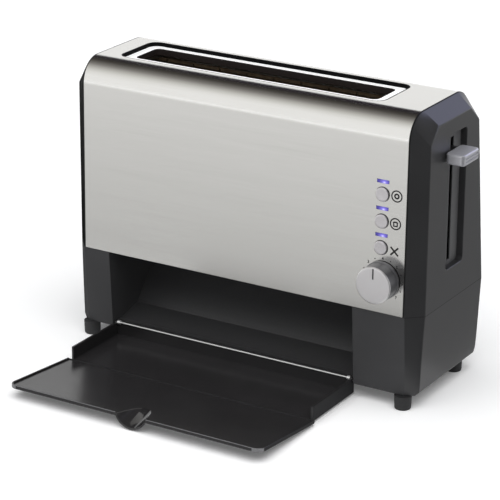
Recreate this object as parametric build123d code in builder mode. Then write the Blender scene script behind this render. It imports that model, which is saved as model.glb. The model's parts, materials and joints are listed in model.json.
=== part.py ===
from build123d import *
import os
from math import atan2, cos, radians, sin, tan

os.makedirs("parts", exist_ok=True)

# Frame: +X to the right end with the controls, -Y to the front, +Z up.
# The origin is on the table, midway along the steel wrap, on the plane midway between the feet.

# Body
wrap_length = 345.0
body_height = 277.0
seam_height = 91.0
foot_height = 13.0
front_at_seam = 59.3
rear_at_seam = 77.0
front_lean = 0.64
rear_lean = 6.86
base_front_taper = 3.9
base_rear_taper = 2.1
base_end_taper = 2.1
top_radius = 24.0
base_rear_radius = 12.0
sheet = 0.8

# Gaps and cuts
overrun = 5.0
fit_gap = 0.2
moving_gap = 0.3
running_clearance = 0.05

# End housings
right_cap_depth = 15.0
left_cap_depth = 12.5
end_drop = 12.0
end_front = 46.0
end_corner = 15.0
end_rear_corner = 18.0
end_rear_inset = 7.8
end_bottom_bevel = 3.5
cap_wall = 2.5
leg_wall = 3.0
lip_height = 6.0
lip_wall = 3.0
flange_reach = 4.0
flange_wall = 2.0
opening_left = -144.4
opening_right = 119.9

# Feet
foot_radius = 8.15
foot_edge = 2.3
foot_spacing_x = 341.0
foot_spacing_y = 103.0

# Slot
slot_length = 259.0
slot_width = 39.6
slot_x = -12.3
slot_y = 3.8
slot_corner = 6.0
cutout_length = 282.0
cutout_width = 62.0
cutout_x = -11.0
cutout_y = 1.0
cutout_corner = 11.0
surround_flange = 1.2
surround_wall = 1.5
surround_thickness = 3.5
well_depth = 3.5
frame_lip = 6.0

# Toasting chamber
plate_thickness = 1.0
plate_set_back = 0.5
chamber_front = 30.0
chamber_rear = 38.0
reflector_sheet = 0.5
card_thickness = 1.0
card_set_in = 6.0
card_above_seam = 23.0
card_below_slot = 7.2
ribbon_width = 2.4
ribbon_thickness = 0.4
ribbon_runs = 12
ribbon_margin = 10.0
guard_wire_radius = 0.9
guard_set_in = 14.9
guard_wires = 9
guard_above_seam = 21.0
guard_below_slot = 5.2
guard_rail_height = 3.0
guard_rail_depth = 1.5
guard_rail_margin = 4.0
tie_bar_radius = 2.5
tie_bar_above_seam = 8.0
tie_bar_set_in = 4.0

# Bread gate
gate_y = 27.5
gate_above_seam = 13.0
gate_shaft_radius = 2.0
gate_length = 34.0
gate_thickness = 1.2
gate_hang = 75.0
gate_side_gap = 3.0
gate_shaft_end = 3.0
crank_gap = 2.0
crank_thickness = 4.0
crank_reach = 22.0
crank_radius = 5.0
crank_tip_radius = 3.0
crank_angle = 60.0

# Slide ramp and base pan
pan_front = 46.0
ramp_sheet = 1.5
ramp_foot = 5.0
ramp_knee_y = -12.0
ramp_knee_above_base = 11.0
ramp_below_seam = 8.0
pan_boss = 10.0
pan_boss_above_base = 11.0
pan_boss_ys = (12.0, 60.0)
screw_radius = 1.5
screw_length = 11.0
screw_head_radius = 3.0
screw_head = 2.0

# Serving tray
hinge_y = -51.0
hinge_above_base = 2.4
pin_radius = 1.4
pin_in_wing = 2.5
pin_in_jamb = 7.0
pin_boss = 5.0
pin_boss_reach = 4.0
ear_radius = 3.0
tray_drop = 11.0
tray_floor = 2.2
tray_side_gap = 1.1
tray_wing = 2.5
tray_wing_height = 12.5
tray_wing_length = 74.6
tray_rear_length = 77.5
tray_front_length = 93.8
tray_front_tilt = 5.0
tray_overhang = 3.2
tray_crease_lap = 1.0
tray_corner = 9.0
tray_rim = 1.8
tray_rim_height = 1.5
tray_rear_wall = 2.0
tray_rear_wall_height = 12.1
scoop_radius = 17.0
scoop_depth = 10.0
scoop_length = 28.0
scoop_wall = 1.8

# Controls on the front; the shares are of the steel's height above the seam
control_x = 147.6
button_radius = 6.6
button_height_shares = (0.600538, 0.466129, 0.332258)
button_names = ("upper_button", "middle_button", "lower_button")
button_proud = 1.9
button_edge = 1.3
button_flange = 1.5
button_flange_reach = 1.5
button_travel = 1.6
lens_names = ("upper_lens", "middle_lens", "lower_lens")
lens_length = 12.0
lens_height = 3.0
lens_above_button_share = 0.063441
lens_proud = 0.3
guide_thickness = 3.0
guide_width = 41.4
guide_above_lens = 11.5
guide_post_radius = 3.0
guide_post_length = 7.7
guide_post_inset = 4.0
board_thickness = 1.6
board_inset = 2.0
switch_size = 6.0
switch_body = 2.0
plunger_radius = 1.7
diode_length = 5.0
diode_height = 3.0
diode_depth = 4.0
knob_x = 149.7
knob_height_share = 0.170430
knob_radius = 17.2
knob_skirt_radius = 17.8
knob_skirt = 3.0
knob_height = 17.0
knob_edge = 1.2
knob_gap = 0.6
knob_bore_depth = 12.0
shaft_radius = 3.0
shaft_hole_gap = 1.0
pot_size = 16.0
pot_depth = 7.0
pot_collar_radius = 4.5
pot_window_gap = 1.0
pot_floor = 1.5
pointer_width = 1.4
pointer_length = 10.0
pointer_depth = 0.8
pointer_proud = 0.1

# Lever
recess_y = 8.5
recess_width = 34.0
recess_above_seam = 31.5
recess_below_top = 27.0
recess_depth = 6.4
recess_corner = 4.0
recess_wall = 2.0
lever_slot_width = 5.0
lever_slot_bottom_margin = 4.5
lever_slot_top_margin = 7.0
lever_below_top = 49.0
lever_length = 18.7
lever_width = 32.0
lever_height = 10.0
lever_corner = 4.0
lever_edge = 1.6
lever_face_gap = 0.8
lever_ahead = 12.3
lever_rise = 4.0
lever_groove = 0.6
lever_groove_width = 1.0
lever_groove_spacing = 3.0
lever_arm = 3.6
lever_arm_height = 6.0
lever_arm_in_knob = 12.0
lever_end_margin = 20.5
rod_x = 150.0
rod_y = 16.0
rod_radius = 2.5
rod_end = 3.0
tab_thickness = 1.5
tab_reach = 10.0
tab_above_seam = 17.0
tab_below_slot = 13.2
tab_front = -10.0
tab_rear = 24.0
carriage_size = 16.0
carriage_height = 20.0
spring_radius = 4.5
spring_wire = 1.2
armature_length = 12.0
armature_reach = 14.0
armature_thickness = 3.0
latch_gap = 0.5
latch_core_size = 6.0
latch_coil_size = 13.0
latch_coil_margin = 3.0

# Parts on the board and in the right leg
relay_size = (16.0, 15.0, 20.0)
relay_below_guide = 14.0
transformer_size = (24.0, 20.0, 26.0)
transformer_below_guide = 56.0
terminal_size = (30.0, 18.0, 14.0)
terminal_x = 146.0
terminal_y = 30.0
cutout_disc_radius = 6.0
cutout_disc_height = 7.0
cutout_disc_y = -10.0
cutout_disc_below_slot = 64.2
bushing_x = 146.0
bushing_above_base = 23.0
bushing_radius = 6.0
bushing_flange_radius = 8.5
bushing_flange = 2.5
bushing_length = 12.0
bushing_bore_radius = 3.6

half_length = wrap_length / 2
end_x = half_length + right_cap_depth
inner_left = opening_left - plate_set_back
inner_right = opening_right + plate_set_back
chamber_length = inner_right - inner_left
chamber_x = (inner_left + inner_right) / 2
slot_floor_z = body_height - well_depth - sheet
surround_bottom = slot_floor_z - surround_thickness
card_bottom = seam_height + card_above_seam
card_top = surround_bottom - card_below_slot
guard_bottom = seam_height + guard_above_seam
guard_top = surround_bottom - guard_below_slot
gate_z = seam_height + gate_above_seam
tab_bottom = seam_height + tab_above_seam
tab_top = surround_bottom - tab_below_slot
hinge_z = foot_height + hinge_above_base
pan_boss_z = foot_height + pan_boss_above_base
bushing_z = foot_height + bushing_above_base
panel_height = body_height - seam_height
button_zs = tuple(seam_height + share * panel_height for share in button_height_shares)
lens_above_button = lens_above_button_share * panel_height
guide_top = button_zs[0] + lens_above_button + guide_above_lens
knob_z = seam_height + knob_height_share * panel_height
recess_bottom = seam_height + recess_above_seam
recess_top = body_height - recess_below_top
lever_slot_bottom = recess_bottom + lever_slot_bottom_margin
lever_slot_top = recess_top - lever_slot_top_margin
lever_z = body_height - lever_below_top
lever_travel = lever_z - recess_bottom - lever_end_margin
tilt = radians(tray_front_tilt)


def front_y(z, inset=0.0):
    """The steel's front at height z, set in by its normal distance."""
    lean = radians(front_lean)
    return -front_at_seam + (z - seam_height) * tan(lean) + inset / cos(lean)


def rear_y(z, inset=0.0):
    lean = radians(rear_lean)
    return rear_at_seam - (z - seam_height) * tan(lean) - inset / cos(lean)


def base_front_y(z, inset=0.0):
    taper = radians(base_front_taper)
    return -front_at_seam + (seam_height - z) * tan(taper) + inset / cos(taper)


def base_rear_y(z, inset=0.0):
    taper = radians(base_rear_taper)
    return rear_at_seam - (seam_height - z) * tan(taper) - inset / cos(taper)


def outline(points, radii):
    """A closed face with its corners rounded where the radius isn't zero."""
    with BuildSketch() as face:
        with BuildLine():
            FilletPolyline(*points, radius=radii, close=True)
        make_face()
    return face.sketch


def wrap_face(inset, low):
    """The steel's section from height low to the top, in (y, z)."""
    top = body_height - inset
    corner = top_radius - inset
    points = (
        (front_y(low, inset), low),
        (front_y(top, inset), top),
        (rear_y(top, inset), top),
        (rear_y(low, inset), low),
    )
    return outline(points, (0, corner, corner, 0))


def base_face(inset, top):
    """The base's section from its underside to height top, in (y, z)."""
    low = foot_height + inset
    points = (
        (base_front_y(low, inset), low),
        (base_front_y(top, inset), top),
        (base_rear_y(top, inset), top),
        (base_rear_y(low, inset), low),
    )
    return outline(points, (0, 0, 0, base_rear_radius - inset))


def cap_root_face(inset):
    """The end cap's section where it meets the steel: steel and base sections in one outline."""
    low = foot_height + inset
    top = body_height - inset
    corner = top_radius - inset
    points = (
        (base_front_y(low, inset), low),
        (front_y(seam_height, inset), seam_height),
        (front_y(top, inset), top),
        (rear_y(top, inset), top),
        (rear_y(seam_height, inset), seam_height),
        (base_rear_y(low, inset), low),
    )
    return outline(points, (0, 0, corner, corner, 0, base_rear_radius - inset))


def cap_end_face(inset):
    """The end cap's flat outer face, with cut corners at the top."""
    low = foot_height + inset
    top = body_height - end_drop - inset
    miter = inset * tan(radians(45) / 2)
    shoulder = body_height - end_drop - end_corner - miter
    rear_shoulder = rear_y(shoulder, end_rear_inset + inset)
    points = (
        (-end_front + inset, low),
        (-end_front + inset, seam_height),
        (-end_front + inset, shoulder),
        (-end_front + end_corner + miter, top),
        (rear_shoulder - end_rear_corner + inset - miter, top),
        (rear_shoulder, shoulder),
        (rear_y(seam_height, end_rear_inset + inset), seam_height),
        (base_rear_y(low, end_rear_inset + inset), low),
    )
    return outline(points, (0, 0, 0, 0, 0, 0, 0, base_rear_radius - inset))


def bent_strip(points, thickness):
    """The outline of a sheet of this thickness below a line of (y, z) points that runs towards +y."""
    lower = []
    for i, (y, z) in enumerate(points):
        before = points[max(i - 1, 0)]
        after = points[min(i + 1, len(points) - 1)]
        turn_in = atan2(z - before[1], y - before[0]) if i else None
        turn_out = atan2(after[1] - z, after[0] - y) if i < len(points) - 1 else turn_in
        turn_in = turn_out if turn_in is None else turn_in
        middle = (turn_in + turn_out) / 2
        reach = thickness / cos((turn_out - turn_in) / 2)
        lower.append((y + reach * sin(middle), z - reach * cos(middle)))
    return outline(tuple(points) + tuple(reversed(lower)), (0,) * (2 * len(points)))


def cap_block(inset, depth):
    """The end cap as a block, set in all round, tapering in below the seam to a bevelled bottom."""
    outer = half_length + depth - inset
    low = foot_height + inset
    drop = (seam_height - low) * tan(radians(base_end_taper))
    with BuildPart() as block:
        with BuildSketch(Plane.YZ.offset(half_length)):
            add(cap_root_face(inset))
        with BuildSketch(Plane.YZ.offset(outer)):
            add(cap_end_face(inset))
        loft(ruled=True)
        with BuildSketch(Plane.XZ.offset(front_at_seam)):
            with BuildLine():
                Polyline(
                    (outer, seam_height),
                    (outer - drop, low + end_bottom_bevel),
                    (outer - drop - end_bottom_bevel, low),
                    (outer + overrun, low),
                    close=True,
                )
            make_face()
        extrude(amount=-front_at_seam - rear_at_seam, mode=Mode.SUBTRACT)
    return block.part


def end_shell(inner_x, depth):
    """One end housing on the +X side: the hollow cap, its leg in to inner_x and the steel's lips."""
    with BuildPart() as shell:
        add(cap_block(0, depth))
        with BuildSketch(Plane.YZ.offset(inner_x)):
            add(base_face(0, seam_height))
        extrude(amount=half_length - inner_x)
        add(cap_block(cap_wall, depth), mode=Mode.SUBTRACT)
        with BuildSketch(Plane.YZ.offset(inner_x + leg_wall)):
            add(base_face(leg_wall, seam_height + overrun))
        extrude(amount=half_length - inner_x - leg_wall, mode=Mode.SUBTRACT)
        add_lips(inner_x, half_length)
        with BuildSketch(Plane.YZ.offset(half_length - flange_reach)):
            add(wrap_face(sheet + fit_gap, seam_height + lip_height + fit_gap))
            add(wrap_face(sheet + fit_gap + flange_wall, seam_height), mode=Mode.SUBTRACT)
        extrude(amount=flange_reach)
        with BuildSketch(Plane.YZ.offset(inner_x + leg_wall)):
            add(base_face(0, seam_height))
            with Locations((hinge_y + pin_boss_reach, 0)):
                Rectangle(2 * rear_at_seam, seam_height, align=(Align.MIN, Align.MIN), mode=Mode.SUBTRACT)
            with Locations((hinge_y, hinge_z + pin_boss_reach)):
                Rectangle(2 * front_at_seam, seam_height, align=(Align.CENTER, Align.MIN), mode=Mode.SUBTRACT)
        extrude(amount=pin_boss)
        with Locations(Plane.YZ.offset(inner_x)):
            with Locations((hinge_y, hinge_z)):
                Cylinder(
                    pin_radius + running_clearance,
                    2 * (pin_in_jamb + moving_gap),
                    mode=Mode.SUBTRACT,
                )
            for boss_y in pan_boss_ys:
                with Locations((boss_y, pan_boss_z)):
                    Cylinder(screw_radius + fit_gap, 2 * (leg_wall + overrun), mode=Mode.SUBTRACT)
    return shell.part


def lip_face(at, low, high):
    """A lip just inside one lower edge of the steel; at gives the steel's place at a height."""
    near = sheet + fit_gap
    return outline(
        (
            (at(low, near), low),
            (at(high, near), high),
            (at(high, near + lip_wall), high),
            (at(low, near + lip_wall), low),
        ),
        (0, 0, 0, 0),
    )


def add_lips(start_x, stop_x):
    """Front and rear lips along X that stand above the seam, added to the part being built."""
    for at in (front_y, rear_y):
        with BuildSketch(Plane.YZ.offset(start_x)) as lip:
            add(lip_face(at, seam_height - lip_wall, seam_height + lip_height))
        extrude(lip.sketch, amount=stop_x - start_x)


def save(part, name):
    part.label = name
    export_step(part, f"parts/{name}.step")


# Steel wrap: one bent sheet, front, top and back, cut out for the slot and the controls
with BuildPart() as steel_wrap:
    with BuildSketch(Plane.YZ.offset(-half_length)):
        add(wrap_face(0, seam_height))
        add(wrap_face(sheet, seam_height - overrun), mode=Mode.SUBTRACT)
    extrude(amount=wrap_length)
    with BuildSketch(Plane.XY.offset(body_height)):
        with Locations((cutout_x, cutout_y)):
            RectangleRounded(cutout_length, cutout_width, cutout_corner)
    extrude(amount=-overrun, mode=Mode.SUBTRACT)
    with BuildSketch(Plane.XZ.offset(front_at_seam + overrun)):
        for button_z in button_zs:
            with Locations((control_x, button_z)):
                Circle(button_radius + moving_gap)
            with Locations((control_x, button_z + lens_above_button)):
                Rectangle(lens_length + fit_gap, lens_height + fit_gap)
        with Locations((knob_x, knob_z)):
            Circle(shaft_radius + shaft_hole_gap)
    extrude(amount=-2 * overrun, mode=Mode.SUBTRACT)
save(steel_wrap.part, "steel_wrap")

# Slot surround: black ring under the steel whose wall lines the cut-out
with BuildPart() as slot_surround:
    with BuildSketch(Plane.XY.offset(surround_bottom)):
        with Locations((cutout_x, cutout_y)):
            RectangleRounded(
                cutout_length + 2 * surround_flange,
                cutout_width + 2 * surround_flange,
                cutout_corner + surround_flange,
            )
    extrude(amount=body_height - sheet - surround_bottom)
    with BuildSketch(Plane.XY.offset(body_height)):
        with Locations((cutout_x, cutout_y)):
            RectangleRounded(cutout_length - fit_gap, cutout_width - fit_gap, cutout_corner)
    extrude(amount=-well_depth)
    with BuildSketch(Plane.XY.offset(slot_floor_z)):
        with Locations((cutout_x, cutout_y)):
            RectangleRounded(
                cutout_length - 2 * surround_wall,
                cutout_width - 2 * surround_wall,
                cutout_corner - surround_wall,
            )
    extrude(amount=well_depth + overrun, mode=Mode.SUBTRACT)
    with BuildSketch(Plane.XY.offset(slot_floor_z)):
        with Locations((slot_x, slot_y)):
            RectangleRounded(
                slot_length + 2 * (sheet + fit_gap),
                slot_width + 2 * (sheet + fit_gap),
                slot_corner + sheet + fit_gap,
            )
    extrude(amount=-surround_thickness - overrun, mode=Mode.SUBTRACT)
save(slot_surround.part, "slot_surround")

# Slot frame: bright pressed ring on the surround's floor, with a lip turned down into the slot
with BuildPart() as slot_frame:
    with BuildSketch(Plane.XY.offset(slot_floor_z)):
        with Locations((cutout_x, cutout_y)):
            RectangleRounded(
                cutout_length - 2 * (surround_wall + fit_gap),
                cutout_width - 2 * (surround_wall + fit_gap),
                cutout_corner - surround_wall - fit_gap,
            )
    extrude(amount=sheet)
    with BuildSketch(Plane.XY.offset(slot_floor_z)):
        with Locations((slot_x, slot_y)):
            RectangleRounded(slot_length + 2 * sheet, slot_width + 2 * sheet, slot_corner + sheet)
    extrude(amount=-frame_lip)
    with BuildSketch(Plane.XY.offset(slot_floor_z + sheet)):
        with Locations((slot_x, slot_y)):
            RectangleRounded(slot_length, slot_width, slot_corner)
    extrude(amount=-frame_lip - sheet - overrun, mode=Mode.SUBTRACT)
save(slot_frame.part, "slot_frame")

# Left end housing: cap and leg in one moulding, the mirror image of the right one without the lever's recess
with BuildPart() as left_end_housing:
    add(mirror(end_shell(-opening_left, left_cap_depth), about=Plane.YZ, mode=Mode.PRIVATE))
save(left_end_housing.part, "left_end_housing")

# Right end housing: the same moulding with the lever's recess and slot, and the hole for the cord's bushing
with BuildPart() as right_end_housing:
    add(end_shell(opening_right, right_cap_depth))
    with BuildSketch(Plane.YZ.offset(end_x - recess_depth - recess_wall)):
        with Locations((recess_y, (recess_bottom + recess_top) / 2)):
            RectangleRounded(
                recess_width + 2 * recess_wall,
                recess_top - recess_bottom + 2 * recess_wall,
                recess_corner + recess_wall,
            )
    extrude(amount=recess_depth + recess_wall)
    with BuildSketch(Plane.YZ.offset(end_x)):
        with Locations((recess_y, (recess_bottom + recess_top) / 2)):
            RectangleRounded(recess_width, recess_top - recess_bottom, recess_corner)
    extrude(amount=-recess_depth, mode=Mode.SUBTRACT)
    with BuildSketch(Plane.YZ.offset(end_x)):
        with Locations((recess_y, (lever_slot_bottom + lever_slot_top) / 2)):
            Rectangle(lever_slot_width, lever_slot_top - lever_slot_bottom)
    extrude(amount=-recess_depth - recess_wall - overrun, mode=Mode.SUBTRACT)
    with BuildSketch(Plane.XZ.offset(-rear_at_seam - overrun)):
        with Locations((bushing_x, bushing_z)):
            Circle(bushing_radius + fit_gap)
    extrude(amount=2 * overrun + leg_wall, mode=Mode.SUBTRACT)
save(right_end_housing.part, "right_end_housing")

# Base pan: floor and rear wall between the legs, with blocks that take the screws from the end housings
with BuildPart() as base_pan:
    with BuildSketch(Plane.YZ.offset(opening_left)):
        add(base_face(0, seam_height))
        add(base_face(leg_wall, seam_height + overrun), mode=Mode.SUBTRACT)
        with Locations((-pan_front, foot_height - overrun)):
            Rectangle(
                front_at_seam,
                seam_height,
                align=(Align.MAX, Align.MIN),
                mode=Mode.SUBTRACT,
            )
        with Locations((-pan_front, foot_height + leg_wall)):
            Rectangle(
                front_at_seam,
                seam_height,
                align=(Align.MAX, Align.MIN),
                mode=Mode.SUBTRACT,
            )
    extrude(amount=opening_right - opening_left)
    with BuildSketch(Plane.YZ.offset(opening_left)) as rear_lip:
        add(lip_face(rear_y, seam_height - lip_wall, seam_height + lip_height))
    extrude(rear_lip.sketch, amount=opening_right - opening_left)
    for block_x, side in ((opening_left, 1), (opening_right, -1)):
        for boss_y in pan_boss_ys:
            with Locations((block_x + side * pan_boss / 2, boss_y, foot_height)):
                Box(
                    pan_boss,
                    pan_boss,
                    pan_boss_z - foot_height + pan_boss / 2,
                    align=(Align.CENTER, Align.CENTER, Align.MIN),
                )
            with Locations(Location((block_x, boss_y, pan_boss_z), (0, 90, 0))):
                Cylinder(screw_radius, 2 * (screw_length - leg_wall), mode=Mode.SUBTRACT)
save(base_pan.part, "base_pan")

# Pan screws: through each leg's inner wall into the pan's blocks
with BuildPart() as pan_screws:
    for wall_x, side in ((opening_left - leg_wall, 1), (opening_right + leg_wall, -1)):
        for boss_y in pan_boss_ys:
            with Locations(Location((wall_x, boss_y, pan_boss_z), (0, side * 90, 0))):
                Cylinder(screw_radius, screw_length, align=(Align.CENTER, Align.CENTER, Align.MIN))
                Cylinder(screw_head_radius, screw_head, align=(Align.CENTER, Align.CENTER, Align.MAX))
save(pan_screws.part, "pan_screws")

# Slide ramp: one bent sheet from behind the chamber down to the tray
with BuildPart() as slide_ramp:
    ramp_front_z = foot_height + leg_wall + ramp_sheet
    with BuildSketch(Plane.YZ.offset(opening_left)):
        add(
            bent_strip(
                (
                    (-pan_front, ramp_front_z),
                    (-pan_front + ramp_foot, ramp_front_z),
                    (ramp_knee_y, foot_height + ramp_knee_above_base),
                    (chamber_rear, seam_height - ramp_below_seam),
                ),
                ramp_sheet,
            )
        )
    extrude(amount=opening_right - opening_left)
save(slide_ramp.part, "slide_ramp")

# Rubber feet, bonded under the end housings
with BuildPart() as rubber_feet:
    with BuildSketch():
        with GridLocations(foot_spacing_x, foot_spacing_y, 2, 2):
            Circle(foot_radius)
    extrude(amount=foot_height)
    fillet(rubber_feet.edges().group_by(Axis.Z)[0], radius=min(foot_edge, foot_radius / 2))
save(rubber_feet.part, "rubber_feet")


def chassis_plate(x):
    """One end wall of the toasting chamber, on the leg's inner wall, with the gate's bearing hole."""
    with BuildPart() as plate:
        with BuildSketch(Plane.YZ.offset(x)):
            with Locations((-chamber_front - plate_thickness, seam_height)):
                Rectangle(
                    chamber_front + chamber_rear + 2 * plate_thickness,
                    surround_bottom - seam_height,
                    align=(Align.MIN, Align.MIN),
                )
            with Locations((gate_y, gate_z)):
                Circle(gate_shaft_radius + running_clearance, mode=Mode.SUBTRACT)
        extrude(amount=plate_thickness)
    return plate.part


# Chassis plates: steel end walls of the chamber, the right one with two tabs that hold the guide rod
with BuildPart() as left_chassis_plate:
    add(chassis_plate(inner_left - plate_thickness))
save(left_chassis_plate.part, "left_chassis_plate")

tab_start = inner_right
tab_end = rod_x + tab_reach
with BuildPart() as right_chassis_plate:
    add(chassis_plate(inner_right))
    for tab_z in (tab_bottom, tab_top):
        with BuildSketch(Plane.XY.offset(tab_z)):
            with Locations((tab_start, tab_front)):
                Rectangle(tab_end - tab_start, tab_rear - tab_front, align=(Align.MIN, Align.MIN))
            with Locations((rod_x, rod_y)):
                Circle(rod_radius, mode=Mode.SUBTRACT)
        extrude(amount=tab_thickness)
save(right_chassis_plate.part, "right_chassis_plate")

# Tie bars: two round bars between the chassis plates
with BuildPart() as chassis_tie_bars:
    for bar_y in (-chamber_front + tie_bar_set_in, chamber_rear - tie_bar_set_in):
        with Locations(Location((chamber_x, bar_y, seam_height + tie_bar_above_seam), (0, 90, 0))):
            Cylinder(tie_bar_radius, chamber_length)
save(chassis_tie_bars.part, "chassis_tie_bars")

# Front and rear of the chamber: reflector, heater card with its ribbon, and bread guard
for place, wall_y, inward in (("front", -chamber_front, 1), ("rear", chamber_rear, -1)):
    with BuildPart() as reflector:
        with Locations((chamber_x, wall_y - inward * reflector_sheet / 2, seam_height)):
            Box(
                chamber_length,
                reflector_sheet,
                surround_bottom - seam_height,
                align=(Align.CENTER, Align.CENTER, Align.MIN),
            )
    save(reflector.part, f"{place}_reflector")

    card_y = wall_y + inward * card_set_in
    with BuildPart() as card:
        with Locations((chamber_x, card_y, card_bottom)):
            Box(
                chamber_length,
                card_thickness,
                card_top - card_bottom,
                align=(Align.CENTER, Align.CENTER, Align.MIN),
            )
    save(card.part, f"{place}_heater_card")

    # The ribbon runs back and forth across the card's inner face as one strip
    run_length = chamber_length - 2 * ribbon_margin
    run_pitch = (card_top - card_bottom - 2 * ribbon_margin) / (ribbon_runs - 1)
    ribbon_y = card_y + inward * (card_thickness + ribbon_thickness) / 2
    with BuildPart() as ribbon:
        for run in range(ribbon_runs):
            run_z = card_bottom + ribbon_margin + run * run_pitch
            with Locations((chamber_x, ribbon_y, run_z)):
                Box(run_length, ribbon_thickness, ribbon_width)
            if run:
                turn_side = 1 if run % 2 else -1
                turn_x = chamber_x + turn_side * (run_length - ribbon_width) / 2
                with Locations((turn_x, ribbon_y, run_z - run_pitch / 2)):
                    Box(ribbon_width, ribbon_thickness, run_pitch)
    save(ribbon.part, f"{place}_heater_ribbon")

    wire_y = wall_y + inward * guard_set_in
    rail_y = wire_y - inward * (guard_wire_radius + guard_rail_depth - running_clearance) / 2
    with BuildPart() as guard:
        for rail_z in (guard_bottom + guard_rail_margin, guard_top - guard_rail_margin):
            with Locations((chamber_x, rail_y, rail_z)):
                Box(chamber_length, guard_rail_depth, guard_rail_height)
        with BuildSketch(Plane.XY.offset(guard_bottom)):
            with Locations((chamber_x, wire_y)):
                with GridLocations(chamber_length / guard_wires, 0, guard_wires, 1):
                    Circle(guard_wire_radius)
        extrude(amount=guard_top - guard_bottom)
    save(guard.part, f"{place}_bread_guard")

# Bread gate: flap and shaft under the chamber, hanging open at rest
with BuildPart() as bread_gate:
    hang = radians(gate_hang)
    shaft_left = inner_left - plate_thickness - gate_shaft_end
    shaft_right = inner_right + plate_thickness + crank_gap + crank_thickness
    with BuildSketch(Plane.YZ.offset(shaft_left)):
        with Locations((gate_y, gate_z)):
            Circle(gate_shaft_radius)
    extrude(amount=shaft_right - shaft_left)
    flap = Plane(
        origin=(inner_left + gate_side_gap, gate_y, gate_z),
        x_dir=(0, -cos(hang), -sin(hang)),
        z_dir=(1, 0, 0),
    )
    with BuildSketch(flap):
        Rectangle(gate_length, gate_thickness, align=(Align.MIN, Align.CENTER))
    extrude(amount=chamber_length - 2 * gate_side_gap)
save(bread_gate.part, "bread_gate")

# Gate crank: on the shaft's end outside the right chassis plate, where the lever's carriage presses it down
with BuildPart() as gate_crank:
    crank_x = inner_right + plate_thickness + crank_gap
    crank_turn = radians(crank_angle)
    with BuildSketch(Plane.YZ.offset(crank_x)):
        with Locations((gate_y, gate_z)):
            Circle(crank_radius)
        tip = (gate_y + crank_reach * cos(crank_turn), gate_z + crank_reach * sin(crank_turn))
        with Locations(tip):
            Circle(crank_tip_radius)
        make_hull()
        with Locations((gate_y, gate_z)):
            Circle(gate_shaft_radius, mode=Mode.SUBTRACT)
    extrude(amount=crank_thickness)
save(gate_crank.part, "gate_crank")

# Serving tray at rest: the rear panel is level, the front panel rises by the tray's tilt
tray_left = opening_left + tray_side_gap
tray_right = opening_right - tray_side_gap
tray_x = (tray_left + tray_right) / 2
tray_width = tray_right - tray_left
floor_z = hinge_z - tray_drop
crease_y = hinge_y - tray_rear_length
front_width = tray_width + 2 * tray_overhang
front_panel = Plane(
    origin=(tray_x, crease_y, floor_z),
    x_dir=(1, 0, 0),
    z_dir=(0, sin(tilt), cos(tilt)),
)
front_edge = Plane(
    origin=front_panel.from_local_coords((0, -tray_front_length, 0)),
    x_dir=(1, 0, 0),
    z_dir=front_panel.z_dir,
)
scoop_tilt = atan2(scoop_depth, scoop_length)
scoop_axis = Plane(
    origin=front_edge.from_local_coords((0, 0, scoop_radius / cos(scoop_tilt) - scoop_depth)),
    x_dir=(1, 0, 0),
    z_dir=(0, cos(scoop_tilt - tilt), sin(scoop_tilt - tilt)),
)

with BuildPart() as scoop_shell:
    with BuildSketch(scoop_axis):
        Circle(scoop_radius + scoop_wall)
    extrude(amount=2 * scoop_length, both=True)
    with BuildSketch(front_edge):
        Rectangle(4 * scoop_radius, 2 * scoop_length, align=(Align.CENTER, Align.MIN))
    extrude(amount=-scoop_depth - scoop_wall - overrun, mode=Mode.INTERSECT)

with BuildPart() as serving_tray:
    with BuildSketch(front_panel.offset(-tray_floor)):
        with BuildLine():
            FilletPolyline(
                (-front_width / 2, tray_crease_lap),
                (-front_width / 2, -tray_front_length),
                (front_width / 2, -tray_front_length),
                (front_width / 2, tray_crease_lap),
                radius=(0, tray_corner, tray_corner, 0),
                close=True,
            )
        make_face()
    extrude(amount=tray_floor + tray_rim_height)
    with BuildSketch(front_panel):
        with BuildLine():
            FilletPolyline(
                (-front_width / 2 + tray_rim, overrun),
                (-front_width / 2 + tray_rim, -tray_front_length + tray_rim),
                (front_width / 2 - tray_rim, -tray_front_length + tray_rim),
                (front_width / 2 - tray_rim, overrun),
                radius=(0, tray_corner - tray_rim, tray_corner - tray_rim, 0),
                close=True,
            )
        make_face()
    extrude(amount=tray_rim_height + overrun, mode=Mode.SUBTRACT)
    with BuildSketch(Plane.XY.offset(floor_z)):
        with Locations((tray_x, crease_y)):
            Rectangle(
                tray_width,
                tray_rear_length + tray_rear_wall,
                align=(Align.CENTER, Align.MIN),
            )
    extrude(amount=-tray_floor)
    with BuildSketch(Plane.XY.offset(floor_z)):
        with Locations((tray_x, hinge_y)):
            Rectangle(tray_width - 2 * tray_wing, tray_rear_wall, align=(Align.CENTER, Align.MIN))
    extrude(amount=tray_rear_wall_height)
    for wing_x in (tray_left, tray_right - tray_wing):
        with BuildSketch(Plane.YZ.offset(wing_x)):
            with Locations((hinge_y + tray_rear_wall, floor_z - tray_floor)):
                Rectangle(
                    tray_wing_length + tray_rear_wall,
                    tray_floor + tray_wing_height,
                    align=(Align.MAX, Align.MIN),
                )
            with Locations((hinge_y, hinge_z)):
                Circle(ear_radius)
            with Locations((hinge_y, hinge_z)):
                Circle(pin_radius, mode=Mode.SUBTRACT)
        extrude(amount=tray_wing)
    add(scoop_shell.part)
    with BuildSketch(scoop_axis):
        Circle(scoop_radius)
    extrude(amount=2 * scoop_length, both=True, mode=Mode.SUBTRACT)
save(serving_tray.part, "serving_tray")

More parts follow.
